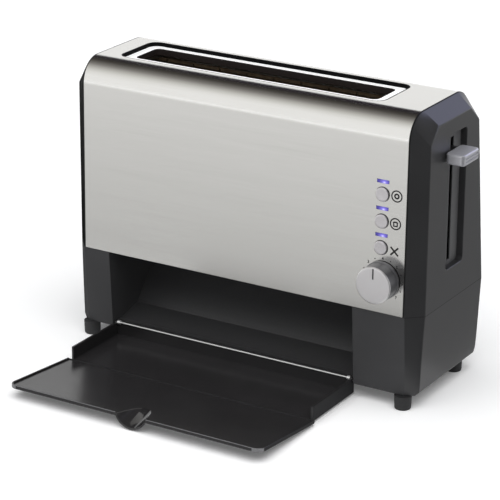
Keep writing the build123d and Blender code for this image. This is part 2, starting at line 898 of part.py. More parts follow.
# Tray pins: fixed in the tray's wings, turning in the legs' inner walls
for pin_name, wing_side, outward in (
    ("left_tray_pin", tray_left, -1),
    ("right_tray_pin", tray_right, 1),
):
    with BuildPart() as tray_pin:
        with Locations(Location((wing_side - outward * pin_in_wing, hinge_y, hinge_z), (0, outward * 90, 0))):
            Cylinder(
                pin_radius,
                pin_in_wing + tray_side_gap + pin_in_jamb,
                align=(Align.CENTER, Align.CENTER, Align.MIN),
            )
    save(tray_pin.part, pin_name)

# Button guide frame: plate behind the steel that guides the buttons and lenses and carries the board
guide_front = front_y(guide_top, sheet) + moving_gap
guide_back = guide_front + guide_thickness
guide_bottom = seam_height + lip_height
board_front = guide_back + guide_post_length
guide_middle = (guide_bottom + guide_top) / 2
with BuildPart() as button_guide_frame:
    with BuildSketch(Plane.XZ.offset(-guide_back)):
        with Locations((control_x, guide_bottom)):
            Rectangle(guide_width, guide_top - guide_bottom, align=(Align.CENTER, Align.MIN))
        for button_z in button_zs:
            with Locations((control_x, button_z)):
                Circle(button_radius + running_clearance, mode=Mode.SUBTRACT)
            with Locations((control_x, button_z + lens_above_button)):
                Rectangle(lens_length + fit_gap, lens_height + fit_gap, mode=Mode.SUBTRACT)
        with Locations((knob_x, knob_z)):
            Rectangle(
                pot_size + 2 * pot_window_gap,
                pot_size + 2 * pot_window_gap,
                mode=Mode.SUBTRACT,
            )
    extrude(amount=guide_thickness)
    with BuildSketch(Plane.XZ.offset(-board_front)):
        with Locations((control_x, guide_middle)):
            with GridLocations(
                guide_width - 2 * (guide_post_inset + board_inset),
                guide_top - guide_bottom - 2 * (guide_post_inset + board_inset),
                2,
                2,
            ):
                Circle(guide_post_radius)
    extrude(amount=guide_post_length)
save(button_guide_frame.part, "button_guide_frame")

# Control board, carried by the guide frame's posts
with BuildPart() as control_board:
    with BuildSketch(Plane.XZ.offset(-board_front - board_thickness)):
        with Locations((control_x, guide_middle)):
            Rectangle(guide_width - 2 * board_inset, guide_top - guide_bottom - 2 * board_inset)
    extrude(amount=board_thickness)
save(control_board.part, "control_board")

# Push switches: one behind each button, clear of it by the moving gap when the button is in
button_back = guide_back + moving_gap + button_flange
switch_reach = board_front - (button_back + button_travel + moving_gap)
with BuildPart() as push_switches:
    with BuildSketch(Plane.XZ.offset(-board_front)):
        for button_z in button_zs:
            with Locations((control_x, button_z)):
                Rectangle(switch_size, switch_size)
    extrude(amount=switch_body)
    with BuildSketch(Plane.XZ.offset(-board_front)):
        for button_z in button_zs:
            with Locations((control_x, button_z)):
                Circle(plunger_radius)
    extrude(amount=switch_reach)
save(push_switches.part, "push_switches")

# Indicator diodes behind the lenses
with BuildPart() as indicator_diodes:
    with BuildSketch(Plane.XZ.offset(-board_front)):
        for button_z in button_zs:
            with Locations((control_x, button_z + lens_above_button)):
                Rectangle(diode_length, diode_height)
    extrude(amount=diode_depth)
save(indicator_diodes.part, "indicator_diodes")

# Indicator lenses: clear bars through the steel and the guide frame
for lens_name, button_z in zip(lens_names, button_zs):
    lens_z = button_z + lens_above_button
    lens_front = front_y(lens_z) - lens_proud
    with BuildPart() as lens:
        with BuildSketch(Plane.XZ.offset(-guide_back)):
            with Locations((control_x, lens_z)):
                Rectangle(lens_length, lens_height)
        extrude(amount=guide_back - lens_front)
    save(lens.part, lens_name)

# Buttons: a round cap through the steel, guided by the frame and held in by a flange behind it
for button_name, button_z in zip(button_names, button_zs):
    button_front = front_y(button_z) - button_proud
    with BuildPart() as button:
        with BuildSketch(Plane.XZ.offset(-button_back)):
            with Locations((control_x, button_z)):
                Circle(button_radius)
        extrude(amount=button_back - button_front)
        fillet(button.edges().group_by(Axis.Y)[0], radius=button_edge)
        with BuildSketch(Plane.XZ.offset(-button_back)):
            with Locations((control_x, button_z)):
                Circle(button_radius + button_flange_reach)
        extrude(amount=button_flange)
    save(button.part, button_name)

# Shade potentiometer on the board, with the collar that the knob's shaft turns in
with BuildPart() as shade_potentiometer:
    with BuildSketch(Plane.XZ.offset(-board_front)):
        with Locations((knob_x, knob_z)):
            Rectangle(pot_size, pot_size)
    extrude(amount=pot_depth)
    with BuildSketch(Plane.XZ.offset(-board_front)):
        with Locations((knob_x, knob_z)):
            Circle(pot_collar_radius)
    extrude(amount=board_front - guide_front)
    with BuildSketch(Plane.XZ.offset(-board_front + pot_floor)):
        with Locations((knob_x, knob_z)):
            Circle(shaft_radius + running_clearance)
    extrude(amount=board_front - guide_front + overrun, mode=Mode.SUBTRACT)
save(shade_potentiometer.part, "shade_potentiometer")

# Shade knob: turned face and side on a wider skirt, with a groove for its pointer
knob_back = front_y(knob_z - knob_skirt_radius) - knob_gap
knob_front = knob_back - knob_height
with BuildPart() as shade_knob:
    with BuildSketch(Plane.XZ.offset(-knob_back)):
        with Locations((knob_x, knob_z)):
            Circle(knob_skirt_radius)
    extrude(amount=knob_skirt)
    with BuildSketch(Plane.XZ.offset(-knob_back)):
        with Locations((knob_x, knob_z)):
            Circle(knob_radius)
    extrude(amount=knob_height)
    chamfer(shade_knob.edges().group_by(Axis.Y)[0], length=knob_edge)
    with BuildSketch(Plane.XZ.offset(-knob_front)):
        with Locations((knob_x, knob_z + knob_radius - knob_edge)):
            Rectangle(pointer_width, pointer_length, align=(Align.CENTER, Align.MAX))
    extrude(amount=-pointer_depth, mode=Mode.SUBTRACT)
    with BuildSketch(Plane.XZ.offset(-knob_back)):
        with Locations((knob_x, knob_z)):
            Circle(shaft_radius)
    extrude(amount=knob_bore_depth, mode=Mode.SUBTRACT)
save(shade_knob.part, "shade_knob")

# Pointer: a dark strip set in the knob's face
with BuildPart() as knob_pointer:
    with BuildSketch(Plane.XZ.offset(-knob_front - pointer_depth)):
        with Locations((knob_x, knob_z + knob_radius - knob_edge)):
            Rectangle(pointer_width, pointer_length, align=(Align.CENTER, Align.MAX))
    extrude(amount=pointer_depth + pointer_proud)
save(knob_pointer.part, "knob_pointer")

# Knob shaft, from the potentiometer to the bottom of the knob's bore
with BuildPart() as knob_shaft:
    shaft_back = board_front - pot_floor - moving_gap
    with BuildSketch(Plane.XZ.offset(-shaft_back)):
        with Locations((knob_x, knob_z)):
            Circle(shaft_radius)
    extrude(amount=shaft_back - knob_back + knob_bore_depth)
save(knob_shaft.part, "knob_shaft")

# Lever knob: rounded block outside the right end, ahead of the slot, with grip grooves in its outer face
lever_inner_x = end_x + lever_face_gap
lever_knob_z = lever_z + lever_rise
with BuildPart() as lever_knob:
    with Locations((lever_inner_x, recess_y - lever_ahead, lever_knob_z)):
        Box(
            lever_length,
            lever_width,
            lever_height,
            align=(Align.MIN, Align.CENTER, Align.CENTER),
        )
    fillet(lever_knob.edges().filter_by(Axis.Z), radius=lever_corner)
    fillet(lever_knob.edges().group_by(Axis.Z)[0], radius=lever_edge)
    fillet(lever_knob.edges().group_by(Axis.Z)[-1], radius=lever_edge)
    for groove_rise in (-lever_groove_spacing / 2, lever_groove_spacing / 2):
        with Locations(
            (lever_inner_x + lever_length, recess_y - lever_ahead, lever_knob_z + groove_rise)
        ):
            Box(
                2 * lever_groove,
                lever_width - 2 * lever_corner,
                lever_groove_width,
                mode=Mode.SUBTRACT,
            )
    with Locations((lever_inner_x, recess_y, lever_knob_z)):
        Box(
            lever_arm_in_knob,
            lever_arm,
            lever_arm_height,
            align=(Align.MIN, Align.CENTER, Align.CENTER),
            mode=Mode.SUBTRACT,
        )
save(lever_knob.part, "lever_knob")

# Lever carriage: block that slides on the guide rod, with the arm that passes out through the slot
with BuildPart() as lever_carriage:
    with Locations((rod_x, rod_y, lever_z)):
        Box(carriage_size, carriage_size, carriage_height)
    with Locations((rod_x, recess_y, lever_knob_z)):
        Box(
            lever_inner_x + lever_arm_in_knob - rod_x,
            lever_arm,
            lever_arm_height,
            align=(Align.MIN, Align.CENTER, Align.CENTER),
        )
    with Locations((rod_x, rod_y, lever_z)):
        Cylinder(rod_radius + running_clearance, carriage_height + overrun, mode=Mode.SUBTRACT)
save(lever_carriage.part, "lever_carriage")

# Latch armature: steel tongue on the carriage that the latch holds at the bottom of the travel
carriage_bottom = lever_z - carriage_height / 2
carriage_front = rod_y - carriage_size / 2
with BuildPart() as latch_armature:
    with Locations((rod_x, carriage_front, carriage_bottom)):
        Box(
            armature_length,
            armature_reach,
            armature_thickness,
            align=(Align.CENTER, Align.MAX, Align.MIN),
        )
save(latch_armature.part, "latch_armature")

# Guide rod between the right chassis plate's tabs
with BuildPart() as carriage_guide_rod:
    with Locations((rod_x, rod_y, tab_bottom - rod_end)):
        Cylinder(
            rod_radius,
            tab_top - tab_bottom + tab_thickness + 2 * rod_end,
            align=(Align.CENTER, Align.CENTER, Align.MIN),
        )
save(carriage_guide_rod.part, "carriage_guide_rod")

# Carriage spring round the rod, from the lower tab to the carriage
with BuildPart() as carriage_spring:
    spring_bottom = tab_bottom + tab_thickness
    with BuildSketch(Plane.XY.offset(spring_bottom)):
        with Locations((rod_x, rod_y)):
            Circle(spring_radius)
            Circle(spring_radius - spring_wire, mode=Mode.SUBTRACT)
    extrude(amount=carriage_bottom - spring_bottom)
save(carriage_spring.part, "carriage_spring")

# Latch: an iron core on the lower tab with its coil round it
latch_y = carriage_front - armature_reach / 2
latch_bottom = tab_bottom + tab_thickness
latch_top = carriage_bottom - lever_travel - latch_gap
with BuildPart() as latch_core:
    with BuildSketch(Plane.XY.offset(latch_bottom)):
        with Locations((rod_x, latch_y)):
            Rectangle(latch_core_size, latch_core_size)
    extrude(amount=latch_top - latch_bottom)
save(latch_core.part, "latch_core")

with BuildPart() as latch_coil:
    with BuildSketch(Plane.XY.offset(latch_bottom)):
        with Locations((rod_x, latch_y)):
            RectangleRounded(latch_coil_size, latch_coil_size, latch_coil_margin)
            Rectangle(
                latch_core_size + fit_gap,
                latch_core_size + fit_gap,
                mode=Mode.SUBTRACT,
            )
    extrude(amount=latch_top - latch_bottom - latch_coil_margin)
save(latch_coil.part, "latch_coil")

# Relay and transformer on the back of the board
for block_name, block_size, block_z in (
    ("relay", relay_size, guide_top - relay_below_guide),
    ("transformer", transformer_size, guide_top - transformer_below_guide),
):
    with BuildPart() as board_block:
        with Locations((control_x, board_front + board_thickness, block_z)):
            Box(*block_size, align=(Align.CENTER, Align.MIN, Align.CENTER))
    save(board_block.part, block_name)

# Terminal block on the right leg's floor
with BuildPart() as terminal_block:
    with Locations((terminal_x, terminal_y, foot_height + leg_wall)):
        Box(*terminal_size, align=(Align.CENTER, Align.CENTER, Align.MIN))
save(terminal_block.part, "terminal_block")

# Thermal cut-out on the outside of the right chassis plate
with BuildPart() as thermal_cutout:
    with BuildSketch(Plane.YZ.offset(inner_right + plate_thickness)):
        with Locations((cutout_disc_y, surround_bottom - cutout_disc_below_slot)):
            Circle(cutout_disc_radius)
    extrude(amount=cutout_disc_height)
save(thermal_cutout.part, "thermal_cutout")

# Cord bushing in the right leg's rear wall
with BuildPart() as cord_bushing:
    bushing_seat = base_rear_y(bushing_z + bushing_flange_radius)
    with BuildSketch(Plane.XZ.offset(-bushing_seat - bushing_flange)):
        with Locations((bushing_x, bushing_z)):
            Circle(bushing_flange_radius)
    extrude(amount=bushing_flange)
    with BuildSketch(Plane.XZ.offset(-bushing_seat)):
        with Locations((bushing_x, bushing_z)):
            Circle(bushing_radius)
    extrude(amount=bushing_length)
    with BuildSketch(Plane.XZ.offset(-bushing_seat - bushing_flange)):
        with Locations((bushing_x, bushing_z)):
            Circle(bushing_bore_radius)
    extrude(amount=bushing_flange + bushing_length, mode=Mode.SUBTRACT)
save(cord_bushing.part, "cord_bushing")
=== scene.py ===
import json
import math

import bmesh
import bpy
from mathutils import Matrix, Vector

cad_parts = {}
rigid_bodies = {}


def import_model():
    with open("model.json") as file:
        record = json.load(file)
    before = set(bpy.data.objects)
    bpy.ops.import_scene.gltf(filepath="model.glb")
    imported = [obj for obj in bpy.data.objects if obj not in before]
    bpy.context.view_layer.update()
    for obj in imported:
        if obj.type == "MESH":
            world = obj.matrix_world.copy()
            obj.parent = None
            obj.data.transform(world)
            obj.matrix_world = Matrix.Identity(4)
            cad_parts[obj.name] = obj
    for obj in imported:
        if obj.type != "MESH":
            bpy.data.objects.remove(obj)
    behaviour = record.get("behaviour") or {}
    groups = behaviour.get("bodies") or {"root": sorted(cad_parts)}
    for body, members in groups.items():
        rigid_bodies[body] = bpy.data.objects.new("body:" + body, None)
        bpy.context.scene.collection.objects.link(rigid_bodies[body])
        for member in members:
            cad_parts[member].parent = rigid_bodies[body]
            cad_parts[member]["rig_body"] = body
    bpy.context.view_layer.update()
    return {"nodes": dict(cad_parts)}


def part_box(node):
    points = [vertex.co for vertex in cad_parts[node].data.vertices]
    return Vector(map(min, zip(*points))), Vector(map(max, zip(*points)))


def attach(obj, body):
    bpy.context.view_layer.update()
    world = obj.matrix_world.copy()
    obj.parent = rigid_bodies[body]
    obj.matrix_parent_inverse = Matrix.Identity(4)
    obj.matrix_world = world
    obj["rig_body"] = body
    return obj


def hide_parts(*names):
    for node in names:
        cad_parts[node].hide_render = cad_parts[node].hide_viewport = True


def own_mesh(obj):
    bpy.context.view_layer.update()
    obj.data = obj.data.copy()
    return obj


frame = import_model()
nodes = frame["nodes"]


# Toasting chamber: two chassis plates and two reflectors form the walls round the bread, held apart by
# tie bars. The plates, the reflectors and the bread gate are hot-dip aluminised steel sheet, punched and
# folded, and the bars are zinc-plated rod riveted over at the ends.
def linear(code):
    """An sRGB hex colour as linear RGBA."""
    parts = [int(code[i:i + 2], 16) / 255 for i in (1, 3, 5)]
    return [p / 12.92 if p <= 0.04045 else ((p + 0.055) / 1.055) ** 2.4 for p in parts] + [1.0]


def finish(name):
    """An empty material, ready for its nodes."""
    material = bpy.data.materials.new(name)
    material.use_nodes = True
    material.node_tree.nodes.clear()
    return material


def add(material, kind, inputs=(), stops=(), **settings):
    """One shader node: inputs maps a socket to a value or to another node's output, stops are a ramp's
    (position, colour) pairs in order, and settings are the node's own."""
    node = material.node_tree.nodes.new("ShaderNode" + kind)
    for key, value in settings.items():
        setattr(node, key, value)
    for key, value in dict(inputs).items():
        if isinstance(value, bpy.types.NodeSocket):
            material.node_tree.links.new(value, node.inputs[key])
        else:
            node.inputs[key].default_value = value
    for count, (position, code) in enumerate(stops):
        marks = node.color_ramp.elements
        mark = marks[count] if count < 2 else marks.new(position)
        mark.position, mark.color = position, linear(code)
    return node


def dress(material, *names):
    """Puts a finish on CAD nodes whose shape is kept."""
    for name in names:
        nodes[name].data.materials.clear()
        nodes[name].data.materials.append(material)


mm = 0.001


def sheet_metal(name, light, dark, roughness, spangle_mm, metallic=1.0):
    """Plain metal sheet or bar: grey in two close shades, in patches of the coating's crystal size."""
    metal = finish(name)
    scuff_mm = 0.6
    place = add(metal, "TexCoord").outputs["Object"]
    patches = add(metal, "TexVoronoi", {"Vector": place, "Scale": 1 / (spangle_mm * mm)})
    scuffs = add(metal, "TexNoise", {"Vector": place, "Scale": 1 / (scuff_mm * mm), "Detail": 4.0})
    shade = add(metal, "ValToRGB", {"Fac": patches.outputs["Color"]}, ((0.0, dark), (1.0, light)))
    rough = add(metal, "MapRange", {"Value": scuffs.outputs["Fac"], "To Min": roughness - 0.06,
                                    "To Max": roughness + 0.06})
    bump = add(metal, "Bump", {"Height": scuffs.outputs["Fac"], "Strength": 0.1, "Distance": 0.02 * mm})
    shader = add(metal, "BsdfPrincipled", {"Base Color": shade.outputs["Color"], "Metallic": metallic,
                                           "Roughness": rough.outputs[0], "Normal": bump.outputs[0]})
    add(metal, "OutputMaterial", {"Surface": shader.outputs[0]})
    return metal


# Aluminised sheet: pale grey with a faint frosted spangle about 6 mm across.
aluminised_sheet = sheet_metal("aluminised_sheet", "#b9bbbd", "#a2a4a6", 0.38, 6)
# Zinc plate: bright, a little blue-yellow, finely frosted.
zinc_plate = sheet_metal("zinc_plate", "#c4c4be", "#aeb0b0", 0.3, 1.2)
dress(aluminised_sheet, "left_chassis_plate", "right_chassis_plate", "front_reflector", "rear_reflector",
      "bread_gate")
dress(zinc_plate, "chassis_tie_bars", "gate_crank")


# Heaters: a card of pressed mica each side of the bread, wound with flat resistance ribbon, and a guard of
# nickel-plated wire, spot-welded, that keeps the bread off it.
def layered(name, light, dark, roughness, flake_mm, metallic=0.0, lift=0.0):
    """A finish in soft patches of two shades, each about flake_mm across; lift is a painted glow added to it, though
    the piece is no lamp.
    """
    made = finish(name)
    place = add(made, "TexCoord").outputs["Object"]
    flakes = add(made, "TexNoise", {"Vector": place, "Scale": 1 / (flake_mm * mm), "Detail": 6.0})
    shade = add(made, "ValToRGB", {"Fac": flakes.outputs["Fac"]}, ((0.3, dark), (0.7, light)))
    bump = add(made, "Bump", {"Height": flakes.outputs["Fac"], "Strength": 0.15, "Distance": 0.05 * mm})
    shader = add(made, "BsdfPrincipled", {
        "Base Color": shade.outputs["Color"], "Metallic": metallic, "Roughness": roughness,
        "Normal": bump.outputs[0], "Emission Color": shade.outputs["Color"], "Emission Strength": lift})
    add(made, "OutputMaterial", {"Surface": shader.outputs[0]})
    return made


# Pressed mica: brown flakes with a soft sheen. The lift is a painted glow that keeps the cards just visible in the
# dark slot.
mica_painted_glow = layered("mica_painted_glow", "#75654f", "#58493a", 0.45, 5, lift=0.08)
# Resistance ribbon: grey-brown oxide from its first heating.
oxidised_ribbon = layered("oxidised_resistance_ribbon", "#7d766d", "#5c554d", 0.42, 3, 1.0)
# Nickel plate on drawn wire: bright, yellowed a little by heat.
nickel_wire = layered("nickel_plated_wire", "#cdc8bd", "#b3aca0", 0.22, 4, 1.0)
dress(mica_painted_glow, "front_heater_card", "rear_heater_card")
dress(oxidised_ribbon, "front_heater_ribbon", "rear_heater_ribbon")
dress(nickel_wire, "front_bread_guard", "rear_bread_guard")


# Slide ramp: a folded steel sheet under the gate that carries the toast down to the tray. It has a baked
# black non-stick coating.
# Non-stick coating: near black, soft sheen, a fine speckle from the sprayed coats.
nonstick = layered("black_nonstick_coating", "#404041", "#363637", 0.36, 0.9)
dress(nonstick, "slide_ramp")


# Lever works: a moulded carriage slides on a ground rod against a coil spring, and a plated armature on it is
# held down by the latch magnet, a core with a winding of enamelled copper wire.
# Enamelled copper: orange-brown, glossy, in fine turns 0.25 mm apart, drawn at 0.6 mm to show.
winding_pitch = 0.6 * mm
wave_run = 0.314  # a wave texture of scale 1 repeats at this length
enamelled_copper = finish("enamelled_copper_winding")
place = add(enamelled_copper, "TexCoord").outputs["Object"]
winding = add(enamelled_copper, "TexWave", {"Vector": place, "Scale": wave_run / winding_pitch,
                                            "Distortion": 0.2}, bands_direction="Z")
shade = add(enamelled_copper, "ValToRGB", {"Fac": winding.outputs["Fac"]}, ((0.0, "#6b3417"), (1.0, "#b8672f")))
bump = add(enamelled_copper, "Bump", {"Height": winding.outputs["Fac"], "Strength": 0.6, "Distance": 0.15 * mm})
shader = add(enamelled_copper, "BsdfPrincipled", {"Base Color": shade.outputs["Color"], "Metallic": 0.6,
                                                  "Roughness": 0.3, "Normal": bump.outputs[0]})
add(enamelled_copper, "OutputMaterial", {"Surface": shader.outputs[0]})
dress(enamelled_copper, "latch_coil")
dress(zinc_plate, "carriage_guide_rod", "latch_armature", "latch_core")


# Return spring: one zinc-plated wire 1.2 mm thick, wound round the guide rod between the lower tab and the
# carriage, which closes it as the lever goes down.
def skinned(work, rings):
    """Joins rings of vertices into a closed skin, with smooth sides and flat ends."""
    for one, two in zip(rings, rings[1:]):
        for i in range(len(one)):
            work.faces.new((one[i], one[i - 1], two[i - 1], two[i])).smooth = True
    work.faces.new(rings[0])
    work.faces.new(list(reversed(rings[-1])))
    bmesh.ops.recalc_face_normals(work, faces=work.faces)


def shaped(name, work):
    """The mesh of a finished working shape."""
    mesh = bpy.data.meshes.new(name)
    work.to_mesh(mesh)
    work.free()
    return mesh


def placed(name, mesh, material):
    """A mesh in one finish, as an object of the scene."""
    mesh.materials.append(material)
    piece = bpy.data.objects.new(name, mesh)
    bpy.context.scene.collection.objects.link(piece)
    return piece


low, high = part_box("carriage_spring")
middle = (low + high) / 2
wire_radius, lever_travel = 0.6 * mm, 85 * mm
turns, turn_steps, wire_sides = 15, 24, 10
coil_radius, rise = (high.x - low.x) / 2 - wire_radius, high.z - low.z - 2 * wire_radius
work = bmesh.new()
rings = []
for i in range(turns * turn_steps + 1):
    a = 2 * math.pi * i / turn_steps
    out = Vector((math.cos(a), math.sin(a), 0))
    axis_point = Vector((middle.x, middle.y, low.z + wire_radius + rise * i / (turns * turn_steps)))
    ring = []
    for k in range(wire_sides):
        b = 2 * math.pi * k / wire_sides
        around = out * math.cos(b) + Vector((0, 0, math.sin(b)))
        ring.append(work.verts.new(axis_point + out * coil_radius + around * wire_radius))
    rings.append(ring)
skinned(work, rings)
spring = placed("wound_spring", shaped("wound_spring", work), zinc_plate)
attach(spring, "root")
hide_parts("carriage_spring")
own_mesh(spring)


# Control board: a glass-epoxy board on the posts of a moulded guide frame. It carries the push switches, the
# indicator diodes, the shade control, a relay and a transformer; the terminal block and the thermal cut-out
# sit by themselves.
def moulded(name, light, dark, roughness, grain_mm, depth_mm, strength=0.25, ior=1.5):
    """Moulded plastic: one colour with slight flow patches, and the tool's spark-eroded grain as bump."""
    plastic = finish(name)
    flow_mm = 45
    place = add(plastic, "TexCoord").outputs["Object"]
    grain = add(plastic, "TexNoise", {"Vector": place, "Scale": 1 / (grain_mm * mm), "Detail": 3.0})
    flow = add(plastic, "TexNoise", {"Vector": place, "Scale": 1 / (flow_mm * mm), "Detail": 2.0})
    shade = add(plastic, "ValToRGB", {"Fac": flow.outputs["Fac"]}, ((0.3, dark), (0.7, light)))
    rough = add(plastic, "MapRange", {"Value": grain.outputs["Fac"], "To Min": roughness - 0.05,
                                      "To Max": roughness + 0.05})
    bump = add(plastic, "Bump", {"Height": grain.outputs["Fac"], "Strength": strength,
                                 "Distance": depth_mm * mm})
    shader = add(plastic, "BsdfPrincipled", {"Base Color": shade.outputs["Color"], "IOR": ior,
                                             "Roughness": rough.outputs[0], "Normal": bump.outputs[0]})
    add(plastic, "OutputMaterial", {"Surface": shader.outputs[0]})
    return plastic


# Solder mask: leaf green, glossy, in faint patches of two greens.
solder_mask = layered("green_solder_mask", "#1f5a2e", "#174823", 0.25, 6)
# Component bodies: matt black epoxy and nylon.
component_body = moulded("black_epoxy_body", "#26262a", "#1e1e21", 0.5, 0.5, 0.03)
dress(solder_mask, "control_board")
dress(component_body, "push_switches", "relay", "transformer", "terminal_block", "shade_potentiometer",
      "thermal_cutout", "indicator_diodes")


# End housings: each end cap and its leg are one moulding of glass-filled polypropylene, which slides over the
# steel's edge on a lip. The right one has the lever's recess and slot.
def even_shading(piece):
    """Smooth shading that keeps flat faces flat and sharp edges sharp."""
    crease_angle = math.radians(42)
    piece.data.set_sharp_from_angle(angle=crease_angle)
    piece.modifiers.new("even_shading", "WEIGHTED_NORMAL").keep_sharp = True


def eased(node, radius_mm, material, least_angle=24, steps=3, where=None):
    """A copy of a CAD node with its flat faces joined up and its sharp edges rounded as the real piece's are."""
    raw = nodes[node].data
    weld_gap, flat_angle = 0.002 * mm, math.radians(0.4)
    mesh = bpy.data.meshes.new(node + "_eased")
    mesh.from_pydata([v.co for v in raw.vertices], [], [p.vertices for p in raw.polygons])
    work = bmesh.new()
    work.from_mesh(mesh)
    bmesh.ops.remove_doubles(work, verts=work.verts, dist=weld_gap)
    bmesh.ops.dissolve_limit(work, angle_limit=flat_angle, verts=work.verts, edges=work.edges)
    sharp = [e for e in work.edges
             if len(e.link_faces) == 2 and e.is_convex and e.calc_face_angle(0) > math.radians(least_angle)
             and (where is None or where((e.verts[0].co + e.verts[1].co) / 2 / mm))]
    bmesh.ops.bevel(work, geom=sharp, offset=radius_mm * mm, offset_type="OFFSET", segments=steps, profile=0.5,
                    affect="EDGES", clamp_overlap=False)
    for face in work.faces:
        face.smooth = True
    work.to_mesh(mesh)
    work.free()
    piece = placed(node + "_eased", mesh, material)
    even_shading(piece)
    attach(piece, nodes[node]["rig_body"])
    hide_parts(node)
    return piece


def paint(piece, material, chosen):
    """A second finish on the faces that chosen(centre in mm, normal) picks."""
    piece.data.materials.append(material)
    for face in piece.data.polygons:
        if chosen(face.center / mm, face.normal):
            face.material_index = len(piece.data.materials) - 1


def scored(piece, *cuts):
    """Cuts a piece's mesh along planes (point in mm, normal), so that a strip of it can take its own finish."""
    work = bmesh.new()
    work.from_mesh(piece.data)
    for point, normal in cuts:
        bmesh.ops.bisect_plane(work, geom=work.verts[:] + work.edges[:] + work.faces[:],
                               plane_co=Vector(point) * mm, plane_no=normal)
    work.to_mesh(piece.data)
    work.free()


seam_z = 91.0  # the steel's lower edge
steel_end, leg_top = 172, 90  # edges further in, behind the steel, stay sharp
# Glass-filled polypropylene: black, satin, with a fine even spark grain of 0.4 mm, drawn at 0.7 mm to show.
spark_mm, spark_depth, spark_strength = 0.7, 0.04, 0.15
satin_black = moulded("satin_black_polypropylene", "#303031", "#2d2d2e", 0.38, spark_mm, spark_depth,
                      spark_strength)
left_end = eased("left_end_housing", 0.8, satin_black,
                 where=lambda p: p.x < -steel_end or p.z < leg_top)
right_end = eased("right_end_housing", 0.8, satin_black,
                  where=lambda p: p.x > steel_end or p.z < leg_top)
# Recess floor: the same moulding painted a lighter matt grey, painted light where the recess would otherwise lie in
# shade.
recess_floor_x, recess_low = 181, 110
recess_painted_light = moulded("recess_painted_light_polypropylene", "#5a5a5b", "#545455", 0.6, spark_mm, spark_depth, spark_strength)
paint(right_end, recess_painted_light, lambda c, n: n.x > 0.95 and abs(c.x - recess_floor_x) < 1 and c.z > recess_low)
# Left cap's front chamfer: the same plastic painted a deeper black that reflects less, a painted shade that keeps
# the narrow strip dark at a low angle.
chamfer_painted_shade = moulded("chamfer_painted_shade_polypropylene", "#0a0a0a", "#080808", 0.6, spark_mm, 0.02, 0.1, 1.12)
paint(left_end, chamfer_painted_shade, lambda c, n: n.x < -0.1 and n.y < -0.1 and c.z > seam_z)
# Legs' fronts, the left leg's chamfer and the opening's left wall: the same plastic painted a lighter, even dark
# grey with hardly a reflection, painted light where these faces would fall dark.
leg_front_y, left_wall_x, left_wall_top = -50, -144, 95
leg_painted_light = moulded("leg_painted_light_polypropylene", "#474748", "#444445", 0.6, spark_mm, spark_depth, spark_strength,
                   1.15)
for end in (left_end, right_end):
    paint(end, leg_painted_light, lambda c, n: n.y < -0.9 and c.z < seam_z and c.y < leg_front_y)
paint(left_end, leg_painted_light, lambda c, n: n.x < -0.1 and n.y < -0.1 and c.z < seam_z)
paint(left_end, leg_painted_light, lambda c, n: n.x > 0.9 and c.z < left_wall_top and abs(c.x - left_wall_x) < 6)
# Tool line between cap and leg: a hair of shadow round each end at the steel's lower edge.
line_low = 90.4
tool_line = moulded("tool_line_shadow", "#141415", "#101011", 0.6, spark_mm, spark_depth, spark_strength)
for end in (left_end, right_end):
    scored(end, ((0, 0, seam_z), (0, 0, 1)), ((0, 0, line_low), (0, 0, 1)))
    paint(end, tool_line, lambda c, n: line_low < c.z < seam_z and abs(n.z) < 0.5)
dress(satin_black, "lever_carriage", "button_guide_frame")


# Base pan: the floor and the low rear wall between the legs, moulded in the same plastic and fixed to the legs
# with four screws from below. The mains lead's bushing is pressed into its rear wall.
pan = eased("base_pan", 0.6, satin_black, where=lambda p: p.z < leg_top)
# Pan top: the upper faces painted darker and duller than the ramp's coating, a painted shade under the body.
pan_top_painted_shade = layered("dull_pan_top_painted_shade", "#2a2a2b", "#252526", 0.45, 0.9)
paint(pan, pan_top_painted_shade, lambda c, n: n.z > 0.5)
dress(zinc_plate, "pan_screws")
# Rubber: dull dark grey, with a faint bloom.
matt_rubber = moulded("matt_black_rubber", "#2a2a2b", "#222223", 0.72, 0.8, 0.06)
dress(matt_rubber, "cord_bushing")


# Feet: four moulded rubber plugs pressed into the legs, a little narrower at the floor and rounded at the edge,
# so that the toaster doesn't slide.
def turned(name, profiles, material, sides=96, axis="Y"):
    """One mesh of turned pieces: each profile is (centre, [(radius, height along the axis)]), in mm, closed at
    both ends."""
    work = bmesh.new()
    for centre, points in profiles:
        rings = []
        for radius, height in points:
            ring = []
            for i in range(sides):
                a = 2 * math.pi * i / sides
                u, v = radius * math.cos(a), radius * math.sin(a)
                offset = Vector({"X": (height, v, u), "Y": (u, height, v), "Z": (u, -v, height)}[axis])
                ring.append(work.verts.new((Vector(centre) + offset) * mm))
            rings.append(ring)
        skinned(work, rings)
    piece = placed(name, shaped(name, work), material)
    even_shading(piece)
    return piece


foot_radius, foot_height = 8.15, 13.0
foot_profile = [(6.4, 0.0), (7.0, 0.1), (7.5, 0.6), (7.75, 1.4), (7.95, 6.0), (foot_radius, 11.5),
                (foot_radius, foot_height)]
low, high = (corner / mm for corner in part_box("rubber_feet"))
feet = turned("turned_feet", [((x, y, 0), foot_profile) for x in (low.x + foot_radius, high.x - foot_radius)
                              for y in (low.y + foot_radius, high.y - foot_radius)], matt_rubber, 48, "Z")
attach(feet, "root")
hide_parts("rubber_feet")


